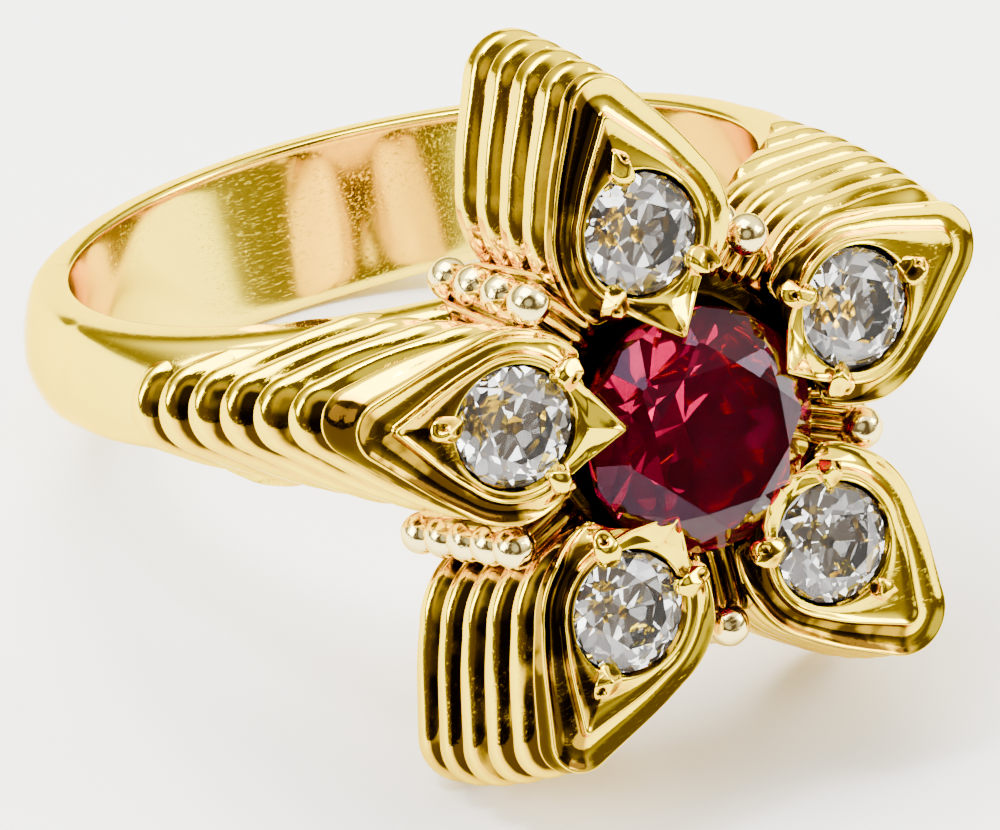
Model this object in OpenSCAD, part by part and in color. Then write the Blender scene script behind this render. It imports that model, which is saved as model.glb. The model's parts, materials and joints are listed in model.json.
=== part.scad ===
// A gold finger ring with a star of five ridged petals round a ruby, and a diamond in each petal.
// It lies on its side, resting on the tips of its two lower petals and on the edge of its shank.
// The ring is drawn with the finger along Z and the star facing -Y, and is then tipped to rest.

/* [Shank] */
// Radius of the finger hole
finger_r = 8.25; // [7.6:0.05:9]
// Thickness of the shank
shank_t = 1.35; // [1.1:0.05:1.6]
// Width of the shank at its sides
shank_w = 3.7; // [3.4:0.1:4.2]
// How much higher the upper edge of the shank runs behind the star
shank_rise = 0.55; // [0:0.05:0.8]
// How much lower the lower edge of the shank runs at the back of the finger
shank_dip = 0.3; // [0:0.05:0.5]
// How far the shoulders stand out past the round of the shank
shoulder_out = 0.5; // [0:0.1:1]

/* [Star] */
// Distance from the finger axis to the front of the star
star_out = 13.6; // [13.2:0.1:14.4]
// How far the middle of the star lies below the middle of the shank
star_drop = 0.65; // [0:0.05:0.8]
// Distance from the ruby's middle to each diamond's middle
diamond_reach = 4.66; // [4.5:0.02:4.8]
// Distance from the ruby's middle to the outer tip of a petal's plate
plate_tip = 7.58; // [7.3:0.02:7.8]
// Distance from the ruby's middle to the inner tip of a petal's plate
plate_root = 2.2; // [2.1:0.02:2.4]
// Half the width of a petal's plate
plate_half_w = 1.72; // [1.68:0.02:1.8]
// How far the rounded rim stands out past the plate at its sides
rim_out = 0.58; // [0.5:0.02:0.7]
// How deep the channel between the plate and the rim is
channel_depth = 0.5; // [0.3:0.05:0.7]
// Depth of the grooves between two ridges
groove_depth = 0.31; // [0.2:0.01:0.4]

/* [Stones] */
// Width of the ruby
ruby_d = 5.7; // [5.4:0.1:5.9]
// Width of each diamond
diamond_d = 2.8; // [2.6:0.05:2.9]
// Gap between a stone and the metal round it
stone_gap = 0.05; // [0.03:0.01:0.08]

/* [Grains] */
// Diameter of the round grains between the petals
grain_d = 1.02; // [0.9:0.02:1.1]
// Diameter of the small prongs that hold the diamonds
prong_d = 0.52; // [0.46:0.02:0.6]

/* [Hidden] */
// Each petal: angle from the top in degrees, lean of its tip to the back in degrees, ridges behind
// the rim, depth of the stack, how far its tip runs out and across over that depth, and how far its
// tip bows back at the rim
PETALS = [
    [-7, 2.5, 4, 5.1, 0.3, 0, 0],
    [74, 5.5, 7, 10, 1.1, 0.7, 1.2],
    [145, -1.5, 5, 5.8, 1.25, 0, 0.3],
    [-145, -1.5, 5, 5.8, 1.25, 0, 0.3],
    [-75.5, 4.5, 7, 9.8, 1.0, -1.3, 1.2]
];
PETAL_ANGLE = 0;
PETAL_LEAN = 1;
PETAL_RIDGES = 2;
PETAL_DEPTH = 3;
PETAL_FLARE = 4;
PETAL_DROOP = 5;
PETAL_BOW = 6;
TOP = 0;
UPPER_RIGHT = 1;
LOWER_RIGHT = 2;
LOWER_LEFT = 3;
LEFT = 4;

// Each row of grains: angle, how many, distance out and depth of the first grain, then of the last
GRAIN_ROWS = [
    [33, 4, 4.75, 0.7, 4.6, 5.2],
    [109.5, 5, 4.9, 0.7, 5.7, 4.6],
    [180, 5, 5.1, 0.7, 5.7, 4.6],
    [-110.5, 5, 5.1, 1.0, 5.7, 4.6],
    [-41.5, 4, 5.35, 0.5, 4.75, 5.4]
];
ROW_ANGLE = 0;
ROW_COUNT = 1;
ROW_OUT = 2;
ROW_DEPTH = 3;
ROW_BACK_OUT = 4;
ROW_BACK = 5;

// A rounded groove and crest, as a share of one ridge's depth and how far each stands out
RIDGE_STEPS = [[0, 0], [0.28, 0.9], [0.62, 1]];

shank_r = finger_r + shank_t;
ruby_girdle = 0.55;
ruby_drop = 0.15;
diamond_girdle = 0.28;
diamond_turn = 13;
claw_lift = 0.53;
rim_tip_out = 1.05;
frame_h = 0.14;
dish = 0.28;
side_bow = 0.059;
prong_reach = diamond_d / 2 + 0.26;
rail_t = 0.78;
drum_r = 3.33;
drum_depth = 1.14;

// Directions round a petal's outline, closer together at both tips
TURNS = [0, 7, 16, 32, 50, 70, 90, 112, 134, 158, 180, 202, 226, 248, 270, 290, 310, 328, 344, 353];

// Distance to a tip's outline: a circle of radius r and a small one of radius t whose far side is at
// d, joined by two slightly bowed lines that touch both
function tip_reach(turn, r, t, d) =
    let (
        c = d - t,
        touch = acos((r - t) / c),
        small = atan2(t * sin(touch), c + t * cos(touch)),
        a = abs(turn)
    )
    a < small ? c * cos(a) + sqrt(max(0, t * t - pow(c * sin(a), 2))) :
    a < touch ? r / cos(touch - a) + side_bow * sin(180 * (a - small) / (touch - small)) : r;

// A petal's outline round its diamond: out is its outer tip, inner its distance to the ruby's side,
// where it is pointed or flat, and groove how far it lies inside a ridge, which dies out towards the
// ruby. The third value is how far back a point lies: bow at the outer tip, sink towards the ruby
function outline(r, t, out, inner, groove, bow, sink) = [
    for (turn = TURNS)
        let (
            a = abs(turn > 180 ? turn - 360 : turn),
            flat_end = min(r, inner / max(0.01, -cos(a))),
            near = inner > r ? tip_reach(180 - a, r, 0.1, inner) : flat_end,
            edge = a <= 90 ? tip_reach(a, r, t, out) : near,
            reach = edge - groove * min(1, max(0, (150 - a) / 40)),
            back = bow * pow(max(0, cos(turn)), 3) + sink * min(1, max(0, (a - 100) / 34))
        )
        [reach * cos(turn), reach * sin(turn), back]
];

// One section of a petal at a depth: grow and tip_grow say how far its side and its tip lie outside
// the plate, share how far back it is in the stack, and it curls up over the edge of the ruby
function section(petal, depth, grow, tip_grow, root, share = 0, groove = 0, sink = 0) =
    let (
        slide = diamond_reach + petal[PETAL_FLARE] * sin(90 * share),
        droop = petal[PETAL_DROOP] * pow(share, 1.6),
        round_tip = 0.1 + 0.5 * max(0, tip_grow) + 0.7 * share,
        tip = plate_tip - diamond_reach + tip_grow,
        bow = depth > 0.3 ? petal[PETAL_BOW] * (1 - share) : 0,
        loop = outline(plate_half_w + grow, round_tip, tip, slide - root, groove, bow, sink)
    )
    [
        for (p = loop)
            [p.x + slide, p.y + droop, depth + p.z - claw_lift * max(0, 2.95 - p.x - slide)]
    ];

// A round section of the seat that is sunk in a petal's plate for its diamond
function seat_section(r, depth) =
    [for (turn = TURNS) [diamond_reach + r * cos(turn), r * sin(turn), depth]];

// A petal from its diamond's seat to its back: plate, raised edge, channel, rim and ridges
function petal_sections(petal) =
    let (
        count = petal[PETAL_RIDGES],
        rim_depth = 0.35,
        pitch = (petal[PETAL_DEPTH] - rim_depth) / (count + 0.4),
        side_root = ruby_d / 2 + ruby_drop + stone_gap
    )
    concat(
        [
            seat_section(0.5, 1.25),
            seat_section(diamond_d / 2 + stone_gap, diamond_girdle + 0.11),
            seat_section(diamond_d / 2 + stone_gap + 0.04, frame_h + 0.02),
            section(petal, frame_h, -0.1, -0.2, plate_root + 0.15),
            section(petal, 0.03, -0.05, -0.08, plate_root),
            section(petal, 0, 0.04, 0.06, plate_root - 0.05),
            section(petal, channel_depth, 0.26, 0.42, side_root - 0.05),
            section(petal, 0.1, rim_out - 0.1, rim_tip_out - 0.15, side_root - 0.02, sink = 0.45),
            section(petal, rim_depth, rim_out, rim_tip_out, side_root, sink = 0.25)
        ],
        [
            for (k = [0 : count - 1], step = RIDGE_STEPS)
                let (
                    depth = rim_depth + (k + step[0] + 0.4) * pitch,
                    share = (depth - rim_depth) / (petal[PETAL_DEPTH] - rim_depth),
                    grow = rim_out - petal[PETAL_BOW] * 0.25 * share,
                    groove = groove_depth * (1 - step[1])
                )
                section(petal, depth, grow, rim_tip_out, side_root + 0.3 * share, share, groove)
        ],
        [
            section(petal, petal[PETAL_DEPTH], rim_out - 0.4, rim_tip_out - 0.4, side_root + 0.3, 1)
        ]
    );

// Where a point of a petal lies on the ring: its layers slope to the back by the petal's lean
function placed(petal, p) =
    let (
        a = petal[PETAL_ANGLE],
        back = p.z + (p.x - plate_root) * tan(petal[PETAL_LEAN])
    )
    [p.x * sin(a) + p.y * cos(a), back - star_out, p.x * cos(a) - p.y * sin(a) - star_drop];

function placed_sections(petal) = [for (s = petal_sections(petal)) [for (p = s) placed(petal, p)]];

// A closed skin over a stack of like sections, whose two ends are dished to the back
module skin(sections, front_dish) {
    n = len(sections[0]);
    last = len(sections) - 1;
    points = [for (s = sections) each s];
    ends = [mean(sections[0]) + [0, front_dish, 0], mean(sections[last]) + [0, dish, 0]];
    sides = [
        for (k = [0 : last - 1], i = [0 : n - 1])
            let (j = (i + 1) % n, a = k * n + i, b = k * n + j)
            each [[a, b + n, b], [a, a + n, b + n]]
    ];
    front = [for (i = [0 : n - 1]) [i, (i + 1) % n, len(points)]];
    back = [for (i = [0 : n - 1]) [last * n + (i + 1) % n, last * n + i, len(points) + 1]];
    polyhedron(concat(points, ends), concat(sides, front, back), convexity = 10);
}

function total(v, i = 0) = i == len(v) ? [0, 0, 0] : v[i] + total(v, i + 1);
function mean(v) = total(v) / len(v);

// Puts a child drawn with X outward, Y across and Z to the back in the direction of a petal
module at_petal(petal) {
    translate([0, -star_out, -star_drop])
        rotate([0, petal[PETAL_ANGLE], 0])
            multmatrix([[0, 1, 0, 0], [0, 0, 1, 0], [1, 0, 0, 0]])
                children();
}

// Puts a child drawn on the middle of a diamond's girdle in its place on a petal's plate
module at_diamond(petal) {
    lean = petal[PETAL_LEAN];
    at_petal(petal)
        translate([diamond_reach, 0, (diamond_reach - plate_root) * tan(lean)])
            rotate([0, -lean, 0])
                translate([0, 0, diamond_girdle])
                    children();
}

// A brilliant cut stone on its girdle: table up at -Z, and 8 facets round each of its rows
module cut_stone(d, table, crown, pavilion) {
    n = 8;
    r = d / 2;
    edge = 0.02 * d;
    ring = function(count, radius, z, turn) [
        for (i = [0 : count - 1])
            let (a = (i + turn) * 360 / count)
            [radius * cos(a), radius * sin(a), z]
    ];
    top = ring(n, r * table, -crown, 0);
    upper = ring(n, r * (0.35 + 0.65 * table), -crown * 0.45, 0.5);
    girdle = ring(2 * n, r, -edge, 0);
    under = ring(2 * n, r, edge, 0);
    lower = ring(n, r * 0.3, pavilion * 0.68, 0.5);
    points = concat(top, upper, girdle, under, lower, [[0, 0, pavilion]]);
    faces = [
        for (i = [0 : n - 1])
            let (
                j = (i + 1) % n,
                g = 2 * n + 2 * i,
                h = g + 1,
                e = 2 * n + 2 * j,
                u = 2 * n,
                p = 6 * n
            )
            each [
                [i, n + i, j],
                [j, n + i, e],
                [i, g, n + i],
                [n + i, g, h],
                [n + i, h, e],
                [g, g + u, h + u],
                [g, h + u, h],
                [h, h + u, e + u],
                [h, e + u, e],
                [g + u, p + i, h + u],
                [h + u, p + i, e + u],
                [g + u, 7 * n, p + i],
                [e + u, p + i, 7 * n]
            ]
    ];
    polyhedron(points, concat([[for (i = [0 : n - 1]) i]], faces), convexity = 4);
}

// The ruby, or with a gap the room that the petals' tips leave round it
module ruby_cut(gap = 0) {
    translate([0, -star_out + ruby_girdle, -star_drop - ruby_drop])
        rotate([-90, 22.5, 0])
            cut_stone(ruby_d + 2 * gap, 0.62, 0.95 + gap, 2.5 + gap);
}

module diamond_cut(petal) {
    at_diamond(petal)
        rotate(diamond_turn)
            cut_stone(diamond_d, 0.56, 0.42, 1.2);
}

// The shank as sections round the finger: a flat inside, straight edges and a domed outside
function shank_sections() = [
    for (a = [0 : 9 : 351])
        let (
            high = shank_w / 2 + shank_rise * pow((1 - cos(a)) / 2, 2),
            low = shank_w / 2 + shank_dip * pow((1 + cos(a)) / 2, 2),
            side = pow(sin(a), 2) * pow(max(0, -cos(a)), 0.8),
            r = shank_r + 2.6 * shoulder_out * side,
            spots = [
                [finger_r - 0.3, -low], [finger_r + 0.7, -low + 0.04], [r - 0.25, -0.75 * low],
                [r - 0.05, -0.4 * low], [r, 0], [r - 0.05, 0.4 * high], [r - 0.25, 0.75 * high],
                [finger_r + 0.7, high - 0.04], [finger_r - 0.3, high]
            ]
        )
        [for (p = spots) [p.x * sin(a), p.x * cos(a), p.y]]
];

// The outermost points of the metal, and how low they reach once the ring is tipped by an angle
petal_points = [for (petal = PETALS, s = placed_sections(petal)) each s];
shank_points = [for (s = shank_sections()) each s];
function tipped(p, tilt) =
    [p.x, p.y * cos(tilt) + p.z * sin(tilt), p.z * cos(tilt) - p.y * sin(tilt)];
function lowest(points, tilt) = min([for (p = points) tipped(p, tilt).z]);

// The angle at which the petals and the back of the shank touch the floor together
function resting_tilt(low = 0, high = 45, steps = 24) =
    let (tilt = (low + high) / 2)
    steps == 0 ? tilt :
    lowest(petal_points, tilt) < lowest(shank_points, tilt) ?
        resting_tilt(tilt, high, steps - 1) :
        resting_tilt(low, tilt, steps - 1);

rest_tilt = resting_tilt();
rest_points = [for (p = concat(petal_points, shank_points)) tipped(p, rest_tilt)];
rest_middle = [for (i = [0, 1])
    (min([for (p = rest_points) p[i]]) + max([for (p = rest_points) p[i]])) / 2];
rest_low = min([for (p = rest_points) p.z]);

// Tips the ring to where it comes to rest, with the middle of its lowest level at the origin
module at_rest() {
    translate([-rest_middle.x, -rest_middle.y, -rest_low])
        rotate([-rest_tilt, 0, 0])
            children();
}

module shank() {
    rows = shank_sections();
    m = len(rows);
    n = len(rows[0]);
    polyhedron(
        [for (row = rows) each row],
        [
            for (k = [0 : m - 1], i = [0 : n - 1])
                let (next = (k + 1) % m * n, j = (i + 1) % n)
                each [[k * n + i, next + j, k * n + j], [k * n + i, next + i, next + j]]
        ],
        convexity = 10
    );
}

module petals() {
    for (petal = PETALS)
        skin(placed_sections(petal), 0.4);
}

// Three small prongs round each diamond: one towards the outer tip and two towards the ruby
module prongs() {
    for (petal = PETALS, turn = [0, 135, 225])
        at_diamond(petal)
            translate([prong_reach * cos(turn), prong_reach * sin(turn), -diamond_girdle])
                rotate(13)
                    sphere(d = prong_d, $fn = 8);
}

// The drum that the petals are soldered to, with the ruby's seat sunk in its front
module drum() {
    translate([0, -star_out, -star_drop])
        rotate([-90, 6, 0])
            rotate_extrude($fn = 24)
                polygon([
                    [0, 3.4], [1.05, 2.4], [2.5, drum_depth], [drum_r, drum_depth],
                    [drum_r, star_out - finger_r], [0, star_out - finger_r]
                ]);
}

// A row of grains between two petals, on the rail that carries it
module grains() {
    for (row = GRAIN_ROWS) {
        first = [row[ROW_DEPTH], row[ROW_OUT]];
        last = [row[ROW_BACK], row[ROW_BACK_OUT]];
        count = row[ROW_COUNT];
        translate([0, -star_out, -star_drop])
            rotate([0, row[ROW_ANGLE], 0]) {
                for (i = [0 : count - 1])
                    let (spot = first + (last - first) * i / (count - 1))
                    translate([0, spot.x, spot.y])
                        sphere(d = grain_d, $fn = 10);
                rotate([0, -90, 0])
                    linear_extrude(rail_t, center = true)
                        polygon([
                            [2, first.x + 0.12], [first.y - 0.1, first.x + 0.12],
                            [last.y - 0.1, last.x + 0.1], [2, last.x + 0.1]
                        ]);
            }
    }
}

module metal() {
    difference() {
        union() {
            petals();
            prongs();
            drum();
            grains();
        }
        cylinder(r = finger_r + 0.4, h = 40, center = true, $fn = 72);
        ruby_cut(stone_gap);
    }
    shank();
}

module ring_body() {
    color("gold")
        difference() {
            // The metal is one casting, so it is kept as one closed mesh at the size it is drawn
            resize([0, 0, 0])
                at_rest()
                    metal();
            at_rest()
                cylinder(r = finger_r, h = 40, center = true, $fn = 96);
        }
}

module ruby() {
    color("crimson")
        at_rest()
            ruby_cut();
}

module diamond(which) {
    color("white")
        at_rest()
            diamond_cut(PETALS[which]);
}

ring_body();
ruby();
diamond(TOP);  // diamond_top
diamond(UPPER_RIGHT);  // diamond_upper_right
diamond(LOWER_RIGHT);  // diamond_lower_right
diamond(LOWER_LEFT);  // diamond_lower_left
diamond(LEFT);  // diamond_left
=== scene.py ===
"""The looks of a gold ring: five ridged petals round a ruby, with a diamond held in each petal.

Sizes in the classes are millimetres in the ring's own frame, where the finger runs along Z and the
star faces -Y with its top at +Z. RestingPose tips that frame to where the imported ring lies.
"""

import json
import logging
import math
from dataclasses import dataclass, replace
from enum import Enum
from itertools import combinations

import bpy
import numpy as np
from mathutils import Matrix


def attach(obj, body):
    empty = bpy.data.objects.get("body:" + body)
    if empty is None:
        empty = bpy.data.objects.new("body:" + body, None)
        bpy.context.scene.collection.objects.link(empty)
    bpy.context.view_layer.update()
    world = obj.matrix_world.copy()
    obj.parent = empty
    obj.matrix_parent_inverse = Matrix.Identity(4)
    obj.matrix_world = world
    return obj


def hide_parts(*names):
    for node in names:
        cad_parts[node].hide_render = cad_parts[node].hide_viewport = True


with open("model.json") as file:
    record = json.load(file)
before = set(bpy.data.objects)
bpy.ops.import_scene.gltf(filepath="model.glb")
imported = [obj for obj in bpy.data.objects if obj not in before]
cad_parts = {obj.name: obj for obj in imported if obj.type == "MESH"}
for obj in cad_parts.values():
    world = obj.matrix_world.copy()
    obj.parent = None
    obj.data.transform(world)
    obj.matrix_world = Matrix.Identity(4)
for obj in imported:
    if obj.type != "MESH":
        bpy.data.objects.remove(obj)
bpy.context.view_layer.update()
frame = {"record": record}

LOG = logging.getLogger("ring")
MM = 0.001

Span = tuple[float, float]
Triple = tuple[float, float, float]
Node = bpy.types.Node
NodeTree = bpy.types.NodeTree
Socket = bpy.types.NodeSocket


class Slot(Enum):
    """The record's material slots."""

    GOLD = "gold"
    RUBY = "ruby"
    DIAMOND = "diamond"


@dataclass(frozen=True)
class Shell:
    """A closed surface: its points in the ring's frame, its faces and a mask for the material.

    The mask is 0 on a polished crest and 1 where the painted shade is darkest.
    """

    points: np.ndarray
    faces: list[list[int]]
    mask: np.ndarray | None = None

    def outward(self) -> "Shell":
        """Turns the faces outwards, by the sign of the volume.

        The volume is the sum of the tetrahedra between the origin and each face's fan.

        Returns:
            The shell itself, or one with every face turned round.
        """
        volume = 0.0
        for size in {len(f) for f in self.faces}:
            loops = self.points[np.array([f for f in self.faces if len(f) == size])]
            for k in range(1, size - 1):
                normal = np.cross(loops[:, k], loops[:, k + 1])
                volume += np.einsum("ij,ij->", loops[:, 0], normal)
        if volume > 0:
            return self
        return Shell(self.points, [f[::-1] for f in self.faces], self.mask)


def joined(shells: list[Shell]) -> Shell:
    """Puts several closed shells into one.

    Args:
        shells: The shells, each turned outwards, and each with a mask or none with one.

    Returns:
        One shell that holds them all.
    """
    faces, start = [], 0
    for shell in shells:
        faces += [[i + start for i in f] for f in shell.faces]
        start += len(shell.points)
    masks = [shell.mask for shell in shells if shell.mask is not None]
    mask = np.concatenate(masks) if masks else None
    return Shell(np.concatenate([shell.points for shell in shells]), faces, mask)


def quads(rows: int, cols: int, loop: bool) -> list[list[int]]:
    """The faces of a grid of points whose columns run round.

    Args:
        rows: How many rows the grid has.
        cols: How many columns it has.
        loop: Whether the last row joins the first too.

    Returns:
        Four corners a face.
    """
    r, c = np.meshgrid(np.arange(rows if loop else rows - 1), np.arange(cols), indexing="ij")
    m, n = (r + 1) % rows, (c + 1) % cols
    corners = [r * cols + c, m * cols + c, m * cols + n, r * cols + n]
    return np.stack(corners, -1).reshape(-1, 4).tolist()


def skin(grid: np.ndarray, ends: np.ndarray, mask: np.ndarray | None = None) -> Shell:
    """Closes a grid of points into a shell whose columns run round and whose ends are fans.

    Args:
        grid: Points, rows by columns by 3.
        ends: The middle point of the first row's fan and of the last row's.
        mask: The material mask of each grid point.

    Returns:
        The closed shell, faces outwards.
    """
    rows, cols = grid.shape[:2]
    col = np.arange(cols)
    after = (col + 1) % cols
    first = np.full(cols, rows * cols)
    base = (rows - 1) * cols
    front = np.stack([col, after, first], -1)
    back = np.stack([base + after, base + col, first + 1], -1)
    points = np.concatenate([grid.reshape(-1, 3), ends])
    faces = quads(rows, cols, False) + front.tolist() + back.tolist()
    marks = None if mask is None else np.concatenate([mask.ravel(), mask[0, :1], mask[-1, :1]])
    return Shell(points, faces, marks).outward()


def middles(grid: np.ndarray) -> np.ndarray:
    """The middle points of a grid's first row and of its last."""
    return np.stack([grid[0].mean(0), grid[-1].mean(0)])


def rounded(path: np.ndarray, per: int, passes: int, loop: bool = False) -> np.ndarray:
    """A row of control values made dense, with its corners eased.

    Each stretch gets equal steps, and each pass replaces a value by a quarter of both neighbours and
    a half of itself, which leaves straight stretches as they are.

    Args:
        path: Control rows, one row of values each.
        per: How many steps each stretch gets.
        passes: How many times the corners are eased.
        loop: Whether the last row joins the first.

    Returns:
        The dense rows.
    """
    rows = np.concatenate([path, path[:1]]) if loop else path
    stations = np.arange(len(rows))
    steps = np.linspace(0, len(rows) - 1, (len(rows) - 1) * per + 1)
    dense = np.stack([np.interp(steps, stations, col) for col in rows.T], -1)
    dense = dense[:-1] if loop else dense
    for _ in range(passes):
        eased = 0.5 * dense + 0.25 * (np.roll(dense, 1, 0) + np.roll(dense, -1, 0))
        if not loop:
            eased[[0, -1]] = dense[[0, -1]]
        dense = eased
    return dense


def ramp(value: np.ndarray, low: float, high: float) -> np.ndarray:
    """A smooth step: 0 up to low, 1 from high, and a cubic between them."""
    t = np.clip((value - low) / (high - low), 0, 1)
    return t * t * (3 - 2 * t)


def directions(polar: np.ndarray, columns: int) -> np.ndarray:
    """Directions all round +Z: sines and cosines of an angle from it and of one about it.

    Args:
        polar: The angle from +Z of each row, in radians.
        columns: How many equal steps go round.

    Returns:
        Unit vectors, rows by columns by 3.
    """
    tall = polar[:, None]
    about = np.linspace(0, 2 * np.pi, columns, endpoint=False)[None, :]
    x, y = np.sin(tall) * np.cos(about), np.sin(tall) * np.sin(about)
    return np.stack([x, y, np.cos(tall) + 0 * about], -1)


def spin(degrees: float) -> np.ndarray:
    """The matrix that turns rows of points about +Z when it stands behind them."""
    c, s = math.cos(math.radians(degrees)), math.sin(math.radians(degrees))
    return np.array([[c, s, 0], [-s, c, 0], [0, 0, 1]])


@dataclass(frozen=True)
class RestingPose:
    """Where the ring's own frame lies in the world: tipped about X and shifted, in millimetres."""

    sin_tilt: float
    cos_tilt: float
    shift_y: float
    shift_z: float

    @classmethod
    def of_bore(cls, mount: dict) -> "RestingPose":
        """Reads the pose from the finger hole's mount, whose axis is the ring's Z.

        Args:
            mount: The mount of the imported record.

        Returns:
            The pose.
        """
        _, s, c = mount["axis"]
        size = math.hypot(s, c)
        _, y, z = mount["pos_m"]
        return cls(s / size, c / size, y / MM, z / MM)

    def turn(self, v: np.ndarray) -> np.ndarray:
        """Turns directions from the ring's frame into the world's.

        Args:
            v: Directions in the ring's frame.

        Returns:
            The same directions in the world.
        """
        x, y, z = v[..., 0], v[..., 1], v[..., 2]
        s, c = self.sin_tilt, self.cos_tilt
        return np.stack([x, y * c + z * s, z * c - y * s], -1)

    def place(self, points: np.ndarray) -> np.ndarray:
        """Puts ring points in millimetres where they lie in the world, in metres."""
        return (self.turn(points) + [0, self.shift_y, self.shift_z]) * MM


@dataclass(frozen=True)
class Star:
    """Sizes that the petals, the stones and the grains share."""

    out: float = 13.6
    drop: float = 0.65
    bore_clear: float = 8.66
    diamond_reach: float = 4.66
    diamond_girdle: float = 0.28
    plate_tip: float = 7.58
    plate_root: float = 2.2
    plate_half_w: float = 1.72
    rim_out: float = 0.58
    rim_tip_out: float = 1.05
    rim_depth: float = 0.35
    side_root: float = 3.05
    side_bow: float = 0.059

    def to_ring(self, angle: float, p: np.ndarray) -> np.ndarray:
        """Puts points drawn with X outward, Y across and Z to the back in a petal's direction.

        Args:
            angle: The direction from the top, in degrees.
            p: The drawn points.

        Returns:
            The points in the ring's frame.
        """
        s, c = math.sin(math.radians(angle)), math.cos(math.radians(angle))
        x, y, z = p[..., 0], p[..., 1], p[..., 2]
        return np.stack([x * s + y * c, z - self.out, x * c - y * s - self.drop], -1)

    def off_finger(self, p: np.ndarray) -> np.ndarray:
        """Moves points that would stand in the finger hole straight out to just outside it.

        Args:
            p: Points in the ring's frame.

        Returns:
            The points, none nearer to the finger's axis than bore_clear.
        """
        r = np.hypot(p[..., 0], p[..., 1])
        factor = np.maximum(1, self.bore_clear / np.maximum(r, 0.01))
        return p * np.stack([factor, factor, np.ones_like(factor)], -1)

    def set_in(self, angle: float, p: np.ndarray) -> np.ndarray:
        """Puts drawn points in a petal's direction and clear of the finger hole."""
        return self.off_finger(self.to_ring(angle, p))


def tip_reach(
    turn: np.ndarray, r: np.ndarray, t: np.ndarray, d: np.ndarray, bow: float
) -> np.ndarray:
    """Distance from a petal's diamond to its outline round a pointed end.

    A circle of radius r and a small one of radius t whose far side is at d are joined by two lines
    that touch both: up to the angle where the line leaves the small circle the distance is to that
    circle, then to the line, and from where it touches the large circle it is r.

    Args:
        turn: Angle from the tip, from 0 up.
        r: Radius of the large circle.
        t: Radius of the small circle.
        d: Distance to the tip.
        bow: How far the lines are bowed out in their middle.

    Returns:
        The distance for each angle.
    """
    c = d - t
    touch = np.arccos(np.clip((r - t) / c, -1, 1))
    small = np.arctan2(t * np.sin(touch), c + t * np.cos(touch))
    along = np.clip((turn - small) / (touch - small), 0, 1)
    arc = c * np.cos(turn) + np.sqrt(np.maximum(0, t**2 - (c * np.sin(turn)) ** 2))
    line = r / np.cos(touch - turn) + bow * np.sin(np.pi * along)
    return np.where(turn < small, arc, np.where(turn < touch, line, r))


@dataclass(frozen=True)
class RidgeStack:
    """How the ridges behind a rim are spaced and cut, the same for all petals."""

    # The first crest before the rim's depth, the others' place in a ridge, and the spare at the end
    first_crest: float = -0.03
    crest_place: float = 0.87
    spare: float = 0.4
    steps: int = 18
    # A flute's depth as a share of a ridge, what of it rounds the crest, and the shallow last one
    flute_depth: float = 0.39
    crest_fall: float = 0.06
    last_fade: Span = (0.1, 0.3)
    last_cut: float = 0.6
    # How far the back edge draws in, from which share of a ridge before the end
    closing: float = 0.4
    closing_from: float = 0.45
    closing_past: float = 0.1
    closing_power: float = 1.5
    # How the stack narrows with its bow, leaves the ruby and rounds its tip towards the back
    bow_narrows: float = 0.25
    root_growth: float = 0.3
    tip_growth: float = 0.35
    # How the stack's drift across starts, and how much less of it reaches the inner end
    droop_power: float = 1.1
    droop_ease: float = 0.55
    droop_span: Span = (-0.5, 2.5)


@dataclass(frozen=True)
class Claw:
    """The inner end of a petal, which curls up over the edge of the ruby like a small roof."""

    lift: float = 0.53
    start: float = 2.95
    roof_high: float = 0.2
    roof_slope: float = 0.95
    roof_least: float = 0.02
    roof_mix: Span = (0.0, 0.3)
    roof_span: Span = (-3.5, -2.75)
    # Degrees from the outer tip between which the flutes fade and the rim sinks
    flutes_end: float = 150
    flutes_fade: float = 40
    sink_start: float = 100
    sink_over: float = 34
    pointed_r: float = 0.1


@dataclass(frozen=True)
class PaintedShade:
    """Where painted shade and painted dark reflection lie in the flutes: on walls that face a dark
    side of the star.
    """

    # The dark side's direction across and up, then spans of how squarely a wall faces it
    side: Span = (-1.0, -0.25)
    flutes: Span = (0.25, 0.6)
    channel: Span = (0.0, 0.5)
    # Spans of the rows' values over which the wall, the root, flutes, channel, plate and seat darken
    # with painted shade
    tip_wall: Span = (0.1, 0.7)
    root_turn: Span = (88, 112)
    root_share: Span = (0, 0.1)
    flute_deep: Span = (0.05, 0.5)
    channel_grow: Span = (-0.04, 0.04)
    channel_depth: Span = (0.1, 0.17)
    plate_mix: Span = (0.1, 0.5)
    plate_grow: Span = (0.05, 0.1)
    seat_mix: Span = (-0.06, 0)
    seat: float = 0.8


@dataclass(frozen=True)
class Rows:
    """The rows of a petal's skin from its seat to its back, as columns of one value a row."""

    mix: np.ndarray
    seat_r: np.ndarray
    depth: np.ndarray
    grow: np.ndarray
    tip_grow: np.ndarray
    root: np.ndarray
    sink: np.ndarray
    bow: np.ndarray
    share: np.ndarray
    groove: np.ndarray
    wall: np.ndarray
    # Painted shade in the channel, in the flutes and at the seat
    channel_shade: np.ndarray
    flute_shade: np.ndarray
    seat_shade: np.ndarray


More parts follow.
